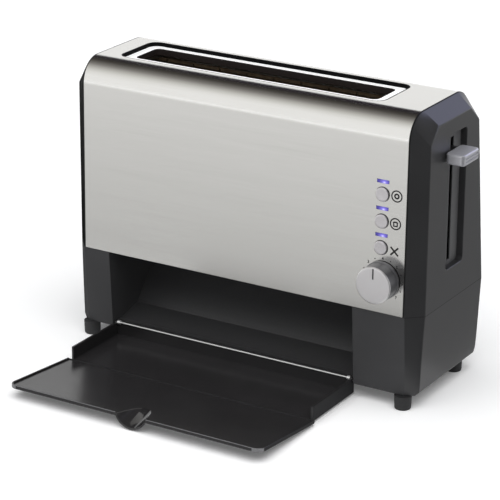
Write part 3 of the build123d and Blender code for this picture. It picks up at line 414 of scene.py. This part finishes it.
# Steel wrap: front, top and back are one stainless sheet 0.8 mm thick, brushed along its length before it is
# bent, with the slot and the control holes pressed out. The end housings trap its edges.
# Brushed stainless: cool light grey, a broad sheen that spreads across the brush lines, fine streaks. The real
# lines are 0.1 mm apart; here they are 0.5 mm, so that they show.
brush_gap, brush_run = 0.5 * mm, 70 * mm
band_gap, band_run = 9 * mm, 160 * mm
brushed_stainless = finish("brushed_stainless_steel")
place = add(brushed_stainless, "TexCoord").outputs["Object"]
along = add(brushed_stainless, "Mapping", {"Vector": place, "Scale": (1 / brush_run, 1 / brush_gap, 1 / brush_gap)})
lines = add(brushed_stainless, "TexNoise", {"Vector": along.outputs[0], "Scale": 1.0, "Detail": 5.0,
                                            "Roughness": 0.65})
broad = add(brushed_stainless, "Mapping", {"Vector": place, "Scale": (1 / band_run, 1 / band_gap, 1 / band_gap)})
bands = add(brushed_stainless, "TexNoise", {"Vector": broad.outputs[0], "Scale": 1.0, "Detail": 2.0})
streaks = add(brushed_stainless, "Mix", {0: 0.3, 2: lines.outputs["Fac"], 3: bands.outputs["Fac"]})
shade = add(brushed_stainless, "ValToRGB", {"Fac": streaks.outputs[0]}, ((0.25, "#e1e0dc"), (0.75, "#e9e8e5")))
rough = add(brushed_stainless, "MapRange", {"Value": streaks.outputs[0], "From Min": 0.25, "From Max": 0.75,
                                            "To Min": 0.15, "To Max": 0.2})
bump = add(brushed_stainless, "Bump", {"Height": lines.outputs["Fac"], "Strength": 0.03, "Distance": 0.01 * mm})
across = add(brushed_stainless, "Tangent", direction_type="RADIAL", axis="X")
shader = add(brushed_stainless, "BsdfPrincipled", {
    "Base Color": shade.outputs["Color"], "Metallic": 1.0, "Roughness": rough.outputs[0], "Anisotropic": 0.35,
    "Tangent": across.outputs[0], "Normal": bump.outputs[0]})
add(brushed_stainless, "OutputMaterial", {"Surface": shader.outputs[0]})
wrap = eased("steel_wrap", 0.2, brushed_stainless, least_angle=40, steps=2)


# Edge shadow: a thin strip at each end of the steel painted black, a painted shadow of the gap where the end
# housing's lip grips it.
# Painted shadow: deep matt black.
shadow_strip_x = 171.3
gap_painted_shadow = moulded("gap_painted_shadow_black", "#0d0d0e", "#0a0a0b", 0.75, 0.6, 0.03)
scored(wrap, ((-shadow_strip_x, 0, 0), (1, 0, 0)), ((shadow_strip_x, 0, 0), (1, 0, 0)))
paint(wrap, gap_painted_shadow, lambda c, n: abs(c.x) > shadow_strip_x)


# Slot: a black moulded surround lines the cut-out, its near rim painted in the steel's finish as a painted
# highlight, and a bright pressed frame drops into it and carries the bread slot's edge.
# Heat-proof nylon: black, painted dead black and made to reflect little, a painted shade so that the well round the
# frame reads as a dark line.
rim_z, rim_width = 276, 3.0
nylon_painted_shade = moulded("black_nylon_painted_shade", "#0d0d0e", "#0a0a0b", 0.7, 0.6, 0.03, ior=1.15)
surround = eased("slot_surround", 0.5, nylon_painted_shade)
near_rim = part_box("slot_surround")[0].y / mm + rim_width
scored(surround, ((0, near_rim, 0), (0, 1, 0)))
# The near rim's top faces take the steel's finish: a painted highlight on the black moulding.
paint(surround, brushed_stainless, lambda c, n: n.z > 0.6 and c.z > rim_z and c.y < near_rim)
# Bead-blasted, clear-anodised aluminium: almost white, with a soft sheen and no mirror. The lift is a painted glow
# that keeps the ring the brightest thing on the top.
aluminium_painted_glow = layered("blasted_aluminium_painted_glow", "#fdfdfd", "#f6f6f6", 0.3, 0.7, 0.0, 0.2)
rim = eased("slot_frame", 0.4, aluminium_painted_glow)
# Inside the slot: the frame's walls below its top face painted a brownish black, a painted shade down in the slot.
slot_wall_painted_shade = layered("black_slot_wall_painted_shade", "#2b2422", "#221c1a", 0.5, 1.5)
paint(rim, slot_wall_painted_shade, lambda c, n: n.z < 0.3)


# Indicator lenses: three clear acrylic bars pressed through the steel, lit from behind by blue-violet diodes, so
# that each glows with a white spot right of its middle. The ends are rounded.
# Lit acrylic: violet, going from a white core to deep blue at the ends. Places are shares of the bar's box.
spot_place, spot_shape = (0.62, 0.5, 0.3), (2.2, 0.0, 0.85)
lit_lens = finish("lit_blue_acrylic")
in_bar = add(lit_lens, "TexCoord").outputs["Generated"]
spot = add(lit_lens, "VectorMath", {0: in_bar, 1: spot_place}, operation="SUBTRACT")
flat = add(lit_lens, "VectorMath", {0: spot.outputs[0], 1: spot_shape}, operation="MULTIPLY")
far = add(lit_lens, "VectorMath", {0: flat.outputs[0]}, operation="LENGTH")
cloud = add(lit_lens, "TexNoise", {"Vector": in_bar, "Scale": 9.0})
edge = add(lit_lens, "MixRGB", {"Fac": 0.12, "Color1": far.outputs["Value"], "Color2": cloud.outputs["Color"]})
glow = add(lit_lens, "ValToRGB", {"Fac": edge.outputs[0]},
           ((0.12, "#e6e0ff"), (0.26, "#9a91ee"), (0.5, "#6f66c4"), (0.95, "#3f3a84")))
shader = add(lit_lens, "BsdfPrincipled", {"Base Color": linear("#2c2766"), "IOR": 1.49, "Roughness": 0.2,
                                          "Emission Color": glow.outputs["Color"], "Emission Strength": 1.0})
add(lit_lens, "OutputMaterial", {"Surface": shader.outputs[0]})
lens_points = 32
lens_edge = ((0.5, 0.0), (0.15, 0.08), (0.0, 0.3))  # (inset, depth) from the front, in mm
for lens in ("upper_lens", "middle_lens", "lower_lens"):
    low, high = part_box(lens)
    middle, radius = (low + high) / 2, (high.z - low.z) / 2
    reach = (high.x - low.x) / 2 - radius
    work = bmesh.new()
    loops = []
    for inset, y in [(inset, low.y + depth * mm) for inset, depth in lens_edge] + [(0.0, high.y)]:
        loop = []
        for i in range(lens_points):
            a = 2 * math.pi * (i + 0.5) / lens_points
            bend_x = middle.x + math.copysign(reach, math.cos(a))
            loop.append(work.verts.new((bend_x + (radius - inset * mm) * math.cos(a), y,
                                        middle.z + (radius - inset * mm) * math.sin(a))))
        loops.append(loop)
    skinned(work, loops)
    lit_bar = placed("rounded_" + lens, shaped("rounded_" + lens, work), lit_lens)
    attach(lit_bar, "root")
    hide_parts(lens)


# Push buttons: moulded caps, sprayed with silver lacquer, with a rounded edge and a slightly hollow face, held
# behind the guide frame by a flange.
def lacquer(name, light, dark, roughness, metallic):
    """Silver lacquer on a moulding: fine flakes of 0.25 mm in a clear binder, drawn at 0.5 mm to show."""
    coat = finish(name)
    flake_mm, skin_mm = 0.5, 2
    place = add(coat, "TexCoord").outputs["Object"]
    flakes = add(coat, "TexVoronoi", {"Vector": place, "Scale": 1 / (flake_mm * mm)})
    shade = add(coat, "ValToRGB", {"Fac": flakes.outputs["Color"]}, ((0.0, dark), (1.0, light)))
    skin = add(coat, "TexNoise", {"Vector": place, "Scale": 1 / (skin_mm * mm), "Detail": 2.0})
    bump = add(coat, "Bump", {"Height": skin.outputs["Fac"], "Strength": 0.06, "Distance": 0.05 * mm})
    rough = add(coat, "MapRange", {"Value": flakes.outputs["Distance"], "To Min": roughness - 0.04,
                                   "To Max": roughness + 0.06})
    shader = add(coat, "BsdfPrincipled", {"Base Color": shade.outputs["Color"], "Metallic": metallic,
                                          "Roughness": rough.outputs[0], "Normal": bump.outputs[0]})
    add(coat, "OutputMaterial", {"Surface": shader.outputs[0]})
    return coat


def rounded_rim(radius, ease, front):
    """The profile of a turned front edge, in mm: a quarter round of radius ease out to the full radius."""
    return [(radius - ease + ease * math.sin(math.radians(a)), front + ease - ease * math.cos(math.radians(a)))
            for a in range(0, 91, 15)]


# Silver lacquer: light warm grey, softly metallic.
silver_lacquer = lacquer("silver_lacquer", "#d9d6d8", "#cdcacc", 0.3, 0.75)
# Painted shade on the sides: the lacquer in dark grey, softly metallic, so the sides read darker than the lit front.
side_painted_shade = lacquer("side_painted_shade_lacquer", "#7c7c7f", "#707073", 0.36, 0.8)
button_radius, button_ease, face_depth = 6.6, 1.1, 0.75
flange_radius, flange_depth = 8.1, 1.5
for button, body in (("upper_button", "button_upper"), ("middle_button", "button_middle"),
                     ("lower_button", "button_lower")):
    low, high = (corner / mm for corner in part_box(button))
    front, back = low.y, high.y
    hollow = [(0.4, front + 0.12), (2.5, front + 0.1), (4.6, front + 0.03)]
    flange = [(button_radius, back - flange_depth), (flange_radius, back - flange_depth), (flange_radius, back)]
    cap = turned("crowned_" + button, [(((low.x + high.x) / 2, 0, (low.z + high.z) / 2),
                                        hollow + rounded_rim(button_radius, button_ease, front) + flange)],
                 silver_lacquer, 64)
    # The cap's sides behind the face are painted dark grey, a painted shade.
    paint(cap, side_painted_shade, lambda c, n: c.y > front + face_depth)
    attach(cap, body)
    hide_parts(button)


# Shade knob: a spun aluminium cap on a moulded core, with a wider skirt at the panel, a rounded rim and a dark
# pointer set in its face. It turns on a plated shaft.
# Spun aluminium: satin, in fine concentric rings 0.2 mm apart, drawn at 0.7 mm to show.
ring_pitch = 0.7 * mm
low, high = (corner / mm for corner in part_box("shade_knob"))
knob_x, knob_z = (low.x + high.x) / 2, (low.z + high.z) / 2
front, back = low.y, high.y
spun_aluminium = finish("spun_aluminium")
place = add(spun_aluminium, "TexCoord").outputs["Object"]
centred = add(spun_aluminium, "VectorMath", {0: place, 1: (knob_x * mm, 0.0, knob_z * mm)}, operation="SUBTRACT")
spun = add(spun_aluminium, "TexWave", {"Vector": centred.outputs[0], "Scale": wave_run / ring_pitch,
                                       "Distortion": 1.2, "Detail": 3.0}, wave_type="RINGS", rings_direction="Y")
shade = add(spun_aluminium, "ValToRGB", {"Fac": spun.outputs["Fac"]}, ((0.0, "#dcdadb"), (1.0, "#e6e4e5")))
rough = add(spun_aluminium, "MapRange", {"Value": spun.outputs["Fac"], "To Min": 0.32, "To Max": 0.42})
shader = add(spun_aluminium, "BsdfPrincipled", {"Base Color": shade.outputs["Color"], "Metallic": 0.85,
                                                "Roughness": rough.outputs[0]})
add(spun_aluminium, "OutputMaterial", {"Surface": shader.outputs[0]})
knob_radius, knob_ease, skirt_radius, bright_depth = 17.2, 1.2, 17.8, 1.5
skirt = [(17.35, back - 3.0), (17.7, back - 2.9), (skirt_radius, back - 2.6), (skirt_radius, back)]
knob_profile = [(0.5, front), (8.0, front)] + rounded_rim(knob_radius, knob_ease, front) + [
    (knob_radius, front + 1.6), (knob_radius, back - 3.2)] + skirt
knob_cap = turned("spun_shade_knob", [((knob_x, 0, knob_z), knob_profile)], spun_aluminium, 128)
# The knob's side behind its bright front is painted dark grey, a painted shade.
paint(knob_cap, side_painted_shade, lambda c, n: c.y > front + bright_depth)
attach(knob_cap, "knob")
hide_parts("shade_knob")
# Pointer inlay: matt black filling.
pointer_black = moulded("black_pointer_inlay", "#2c2b2e", "#242326", 0.5, 0.5, 0.02)
dress(pointer_black, "knob_pointer")
dress(zinc_plate, "knob_shaft")


# Panel print: screen-printed signs beside the buttons and the shade scale round the knob, numbers with dots
# between them, in black ink a few hundredths of a millimetre thick on the steel.
# Panel ink: matt black, with a fine mottle.
panel_ink = layered("black_panel_ink", "#0e0e0e", "#0a0a0a", 0.7, 0.4)
ink_depth, ink_lift, second_coat_lift = 0.02 * mm, 0.05, 0.06
front_foot_y, front_lean = -59.3, 0.64  # the steel's front at the seam, in mm, and its lean in degrees


def inked(name, curve, x=0.0, z=0.0, lift=ink_lift):
    """A flat curve as thin ink on the leaning front, moved by (x, z) in mm."""
    curve.extrude = ink_depth
    outline = bpy.data.objects.new(name + "_outline", curve)
    bpy.context.scene.collection.objects.link(outline)
    bpy.context.view_layer.update()
    mesh = bpy.data.meshes.new_from_object(outline.evaluated_get(bpy.context.evaluated_depsgraph_get()))
    bpy.data.objects.remove(outline)
    for vertex in mesh.vertices:
        sideways, up, out = vertex.co.x + x * mm, vertex.co.y + z * mm, vertex.co.z
        front_y = front_foot_y + (up / mm - seam_z) * math.tan(math.radians(front_lean))
        vertex.co = (sideways, (front_y - lift) * mm - out, up)
    mesh.name = name
    mesh.materials.clear()
    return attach(placed(name, mesh, panel_ink), "root")


def printed(name, loops, lift=ink_lift):
    """Closed loops of (x, z) points in mm, filled with ink; a loop inside another is a gap."""
    ink = bpy.data.curves.new(name, "CURVE")
    ink.dimensions, ink.fill_mode = "2D", "BOTH"
    for loop in loops:
        line = ink.splines.new("POLY")
        line.points.add(len(loop) - 1)
        line.use_cyclic_u = True
        for point, (x, z) in zip(line.points, loop):
            point.co = (x * mm, z * mm, 0, 1)
    return inked(name, ink, lift=lift)


def circle(x, z, radius, count=48):
    """A round loop."""
    return [(x + radius * math.cos(2 * math.pi * i / count), z + radius * math.sin(2 * math.pi * i / count))
            for i in range(count)]


def bar(x, z, length, width, angle):
    """A straight stroke about its middle."""
    c, s = math.cos(math.radians(angle)), math.sin(math.radians(angle))
    return [(x + c * u * length / 2 - s * v * width / 2, z + s * u * length / 2 + c * v * width / 2)
            for u, v in ((-1, -1), (1, -1), (1, 1), (-1, 1))]


outer_ring, outer_gap, inner_ring, inner_gap = 5.6, 4.4, 2.7, 1.2
ring_x, ring_z = 161.6, 203.1
printed("ring_sign", [circle(ring_x, ring_z, radius) for radius in (outer_ring, outer_gap, inner_ring, inner_gap)])
slice_x, slice_z = 161.2, 177.4
crust = [(slice_x + 2.8 * math.cos(math.radians(a)), slice_z + 1.0 + 1.4 * math.sin(math.radians(a)))
         for a in range(0, 181, 20)]
slice_line = crust + [(slice_x + x, slice_z + z) for x, z in ((-2.3, 0.5), (-2.3, -2.7), (2.3, -2.7), (2.3, 0.5))]
crumb_z, crumb_share = slice_z - 0.4, 0.5
crumb = [(slice_x + (x - slice_x) * crumb_share, crumb_z + (z - crumb_z) * crumb_share) for x, z in slice_line]
printed("slice_sign", [circle(slice_x, slice_z, outer_ring), circle(slice_x, slice_z, outer_gap), slice_line, crumb])
stop_x, stop_z, stop_length, stop_width = 161.0, 151.6, 10.8, 1.6
printed("stop_sign_a", [bar(stop_x, stop_z, stop_length, stop_width, 45)])
printed("stop_sign_b", [bar(stop_x, stop_z, stop_length, stop_width, -45)], second_coat_lift)
scale_radius, scale_step, scale_numbers = 20.2, 45, 7
dot_radius, digit_height, digit_swell = 0.6, 3.8, 0.1


def scale_place(step):
    """The place on the shade scale this many numbers from its middle, in mm."""
    a = math.radians(step * scale_step)
    return knob_x + scale_radius * math.sin(a), knob_z + scale_radius * math.cos(a)


printed("scale_dots", [circle(*scale_place(step), dot_radius, 16) for step in (-2.5, -1.5, -0.5, 0.5, 1.5, 2.5)])
for number in range(1, scale_numbers + 1):
    digit = bpy.data.curves.new("scale_number", "FONT")
    digit.body, digit.size = str(number), digit_height * mm
    digit.align_x, digit.align_y = "CENTER", "CENTER"
    digit.offset = digit_swell * mm
    inked("scale_number_%d" % number, digit, *scale_place(number - (scale_numbers + 1) / 2))


# Lever: a moulding pressed onto the carriage's arm, which comes out through the recess. It is sprayed with silver
# lacquer and has two grip grooves in its outer face.
# Lever lacquer: the buttons' silver, a little bluer and softer.
lever_lacquer = lacquer("lever_silver_lacquer", "#bdbdc2", "#b0b0b5", 0.36, 0.55)
dress(lever_lacquer, "lever_knob")


# Serving tray: the fold-down door, moulded in gloss black ABS with a raised rim, two wings and a thumb scoop. It
# turns on two plated pins in the legs.
# Gloss ABS: deep black, mirror-like but slightly soft, with the faintest flow ripple.
ripple_mm, rim_y, rear_y, scoop_x, scoop_half = 18, -190, -60, -10.4, 19.5
gloss_black = moulded("gloss_black_abs", "#2a292a", "#262526", 0.23, ripple_mm, 0.08, 0.08)
tray = eased("serving_tray", 0.5, gloss_black)
# Painted shade: the wings' outer sides in a matt copy of the ABS that reflects little, so they stay dark beside the
# bright floor. Their front ends are painted light in the legs' lighter matt grey.
wing_sides_painted_shade = moulded("wing_sides_painted_shade_abs", "#2e2e2f", "#2b2b2c", 0.6, spark_mm, spark_depth, spark_strength, 1.15)
paint(tray, wing_sides_painted_shade, lambda c, n: abs(n.x) > 0.9 and c.x * n.x > 0.1)
paint(tray, leg_painted_light, lambda c, n: n.y < -0.8 and rim_y < c.y < rear_y)
# Rim edge: a painted highlight, a lighter grey along the front rim, a thin line each side of the scoop.
rim_painted_highlight = moulded("grey_rim_painted_highlight", "#7a7a7c", "#707072", 0.35, ripple_mm, 0.04, 0.05)
paint(tray, rim_painted_highlight, lambda c, n: c.y < rim_y and n.y < -0.3 and n.z > -0.3 and abs(c.x - scoop_x) > scoop_half)
# Polished ABS: the thumb scoop is smoother than the tray, and catches small clear lights.
polished_abs = moulded("polished_black_abs", "#2c2b2c", "#282728", 0.1, ripple_mm, 0.05, 0.05)
paint(tray, polished_abs, lambda c, n: c.y < rim_y and abs(c.x - scoop_x) < scoop_half and abs(n.z) < 0.97)
dress(zinc_plate, "left_tray_pin", "right_tray_pin")


# Hinge rod: a thin polished steel rod clipped along the tray's rear wall, from pin to pin, with a collar at each
# end. It stiffens the hinge edge and shows as a bright line.
# Polished rod: bright, nearly a mirror, finely mottled.
polished_rod = sheet_metal("polished_steel_rod", "#f2f2f2", "#e6e6e6", 0.2, 0.8, 0.6)
rod_start, rod_length = (-140.8, -51.4, 16.9), 257.0
rod_line = [(0.3, 0.0), (1.7, 0.1), (1.9, 0.4), (1.9, 3.1), (1.7, 3.4), (0.8, 3.5), (0.8, 4.0)]
rod_line += [(radius, rod_length - run) for radius, run in reversed(rod_line)]
hinge_rod = turned("hinge_rod", [(rod_start, rod_line)], polished_rod, 24, "X")
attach(hinge_rod, "tray")


# Stage: a white paper sweep for a floor, a bright room to the horizon that is dark overhead, as a studio with one
# soft lamp above, and the camera at the photograph's place.
paper_lift, floor_half = 0.11, 12
white_floor = finish("white_paper_sweep")
rays = add(white_floor, "LightPath")
paper = add(white_floor, "BsdfDiffuse", {"Color": linear("#fcfcfc")})
mirrored = add(white_floor, "Math", {0: rays.outputs["Is Glossy Ray"], 1: rays.outputs["Is Transmission Ray"]},
               operation="MAXIMUM")
shown = add(white_floor, "Math", {0: mirrored.outputs[0], 1: rays.outputs["Is Camera Ray"]}, operation="MAXIMUM")
lift = add(white_floor, "Math", {0: shown.outputs[0], 1: paper_lift}, operation="MULTIPLY")
white = add(white_floor, "Emission", {"Color": linear("#ffffff"), "Strength": lift.outputs[0]})
both = add(white_floor, "AddShader", {0: paper.outputs[0], 1: white.outputs[0]})
add(white_floor, "OutputMaterial", {"Surface": both.outputs[0]})
floor_mesh = bpy.data.meshes.new("floor")
floor_mesh.from_pydata([(x * floor_half, y * floor_half, 0) for x, y in ((-1, -1), (1, -1), (1, 1), (-1, 1))],
                       [], [(0, 1, 2, 3)])
floor = placed("floor", floor_mesh, white_floor)

# Room: what mirrors see goes from white low down and in front to dark at the back, with a cool panel behind.
panel_way, panel_light = (0.3, 0.78, 0.55), (1.25, 1.3, 1.9, 1.0)
world = bpy.data.worlds.new("studio")
bpy.context.scene.world = world
world.use_nodes = True
world.node_tree.nodes.clear()
rays = add(world, "LightPath")
way = add(world, "TexCoord").outputs["Generated"]
axes = add(world, "SeparateXYZ", {0: way})
backward = add(world, "MapRange", {"Value": axes.outputs["Y"], "From Min": -1.0})
ceiling = add(world, "ValToRGB", {"Fac": backward.outputs[0]},
              ((0.0, "#ffffff"), (0.12, "#ffffff"), (0.2, "#f2f2f0"), (0.3, "#cfceca"), (0.45, "#868380"),
               (0.62, "#45423d"), (0.8, "#29252b"), (1.0, "#29252b")))
low_wall = add(world, "MapRange", {"Value": axes.outputs["Z"], "From Min": 0.42, "From Max": 0.47})
room = add(world, "MixRGB", {"Fac": low_wall.outputs[0], "Color1": linear("#ffffff"),
                             "Color2": ceiling.outputs["Color"]})
toward = add(world, "VectorMath", {0: way, 1: panel_way}, operation="DOT_PRODUCT")
cool_panel = add(world, "MapRange", {"Value": toward.outputs["Value"], "From Min": 0.9, "From Max": 0.97})
lit_room = add(world, "MixRGB", {"Fac": cool_panel.outputs[0], "Color1": room.outputs[0], "Color2": panel_light})
seen = add(world, "Background", {"Color": lit_room.outputs[0], "Strength": 1.0})
soft = add(world, "Background", {"Color": linear("#fbfcff"), "Strength": 0.33})
plain = add(world, "Background", {"Color": linear("#ffffff"), "Strength": 1.0})
mirrored = add(world, "Math", {0: rays.outputs["Is Glossy Ray"], 1: rays.outputs["Is Transmission Ray"]},
               operation="MAXIMUM")
mixed = add(world, "MixShader", {0: mirrored.outputs[0], 1: soft.outputs[0], 2: seen.outputs[0]})
whole = add(world, "MixShader", {0: rays.outputs["Is Camera Ray"], 1: mixed.outputs[0], 2: plain.outputs[0]})
add(world, "OutputWorld", {"Surface": whole.outputs[0]})

# Lamp: one broad soft light from above, a little in front and to the right.
lamp_way = Vector((0.12, -0.3, 1.0))
lamp = bpy.data.lights.new("overhead_lamp", "SUN")
lamp.energy, lamp.angle = 2.35, math.radians(76)
lamp_piece = bpy.data.objects.new("overhead_lamp", lamp)
lamp_piece.rotation_euler = lamp_way.to_track_quat("Z", "Y").to_euler()
lamp_piece.visible_glossy = False
bpy.context.scene.collection.objects.link(lamp_piece)


# Cards on the floor and one standing, out of the picture, that shape what the steel and the plastic mirror. Only
# reflections see them: grey in front, black at the front right and rear left, mid grey at the rear right.
def card(name, corners, near, far=None, run=(0.0, 1.0)):
    """A card for reflections; its grey goes from near to far along -Y between the run's two places."""
    grey = finish(name)
    place = add(grey, "SeparateXYZ", {0: add(grey, "TexCoord").outputs["Object"]})
    along = add(grey, "MapRange", {"Value": place.outputs["Y"], "From Min": run[0], "From Max": run[1]})
    shade = add(grey, "ValToRGB", {"Fac": along.outputs[0]}, ((0.0, near), (1.0, far or near)))
    lit = add(grey, "Emission", {"Color": shade.outputs["Color"], "Strength": 1.0})
    add(grey, "OutputMaterial", {"Surface": lit.outputs[0]})
    mesh = bpy.data.meshes.new(name)
    mesh.from_pydata(corners, [], [(0, 1, 2, 3)])
    sheet = placed(name, mesh, grey)
    sheet.visible_camera = sheet.visible_diffuse = sheet.visible_shadow = sheet.visible_transmission = False


on_floor, card_left, card_right, card_black = 0.001, -1.2, 0.18, "#0a0a0a"
for name, start, end, near, far in (("near_front_card", -0.235, -0.36, "#b2b2b2", "#cbcbcb"),
                                    ("front_card", -0.36, -0.66, "#cbcbcb", "#dadada"),
                                    ("far_front_card", -0.66, -1.5, "#dadada", "#ffffff")):
    card(name, [(card_left, end, on_floor), (card_right, end, on_floor), (card_right, start, on_floor),
                (card_left, start, on_floor)], near, far, (start, end))
for name, outline, grey in (
        ("front_right_card", ((0.21, -0.04), (0.23, -0.5), (0.85, -0.7), (0.85, -0.04)), card_black),
        ("rear_right_card", ((0.2, 0.04), (1.0, 0.04), (1.0, 1.2), (0.2, 1.2)), "#a8a8a8"),
        ("rear_left_card", ((-0.21, -0.1), (-0.21, 0.5), (-0.9, 0.8), (-0.9, -0.1)), card_black)):
    card(name, [(x, y, on_floor) for x, y in outline], grey)
card("standing_card", [(0.30, -0.50, 0), (0.64, 0.05, 0), (0.64, 0.05, 0.7), (0.30, -0.50, 0.7)], card_black)

# Camera: a long lens, turned to the right and looking down, fitted to the photograph's straight edges.
image_width, focal_pixels, film_width = 500, 2338.64, 36.0
camera_place = (1.04698, -1.78616, 0.87421)
turn, pitch, roll = math.radians(30.92), math.radians(20.44), math.radians(0.4)
view = bpy.data.cameras.new("photo_camera")
view.sensor_width, view.lens = film_width, focal_pixels * film_width / image_width
behind = Vector((math.sin(turn) * math.cos(pitch), -math.cos(turn) * math.cos(pitch), math.sin(pitch)))
level = Vector((math.cos(turn), math.sin(turn), 0))
upright = behind.cross(level)
side = math.cos(roll) * level + math.sin(roll) * upright
top = -math.sin(roll) * level + math.cos(roll) * upright
camera = bpy.data.objects.new("photo_camera", view)
camera.matrix_world = Matrix.Translation(camera_place) @ Matrix((side, top, behind)).transposed().to_4x4()
bpy.context.scene.collection.objects.link(camera)
bpy.context.scene.camera = camera
bpy.context.scene.view_settings.view_transform = "Standard"
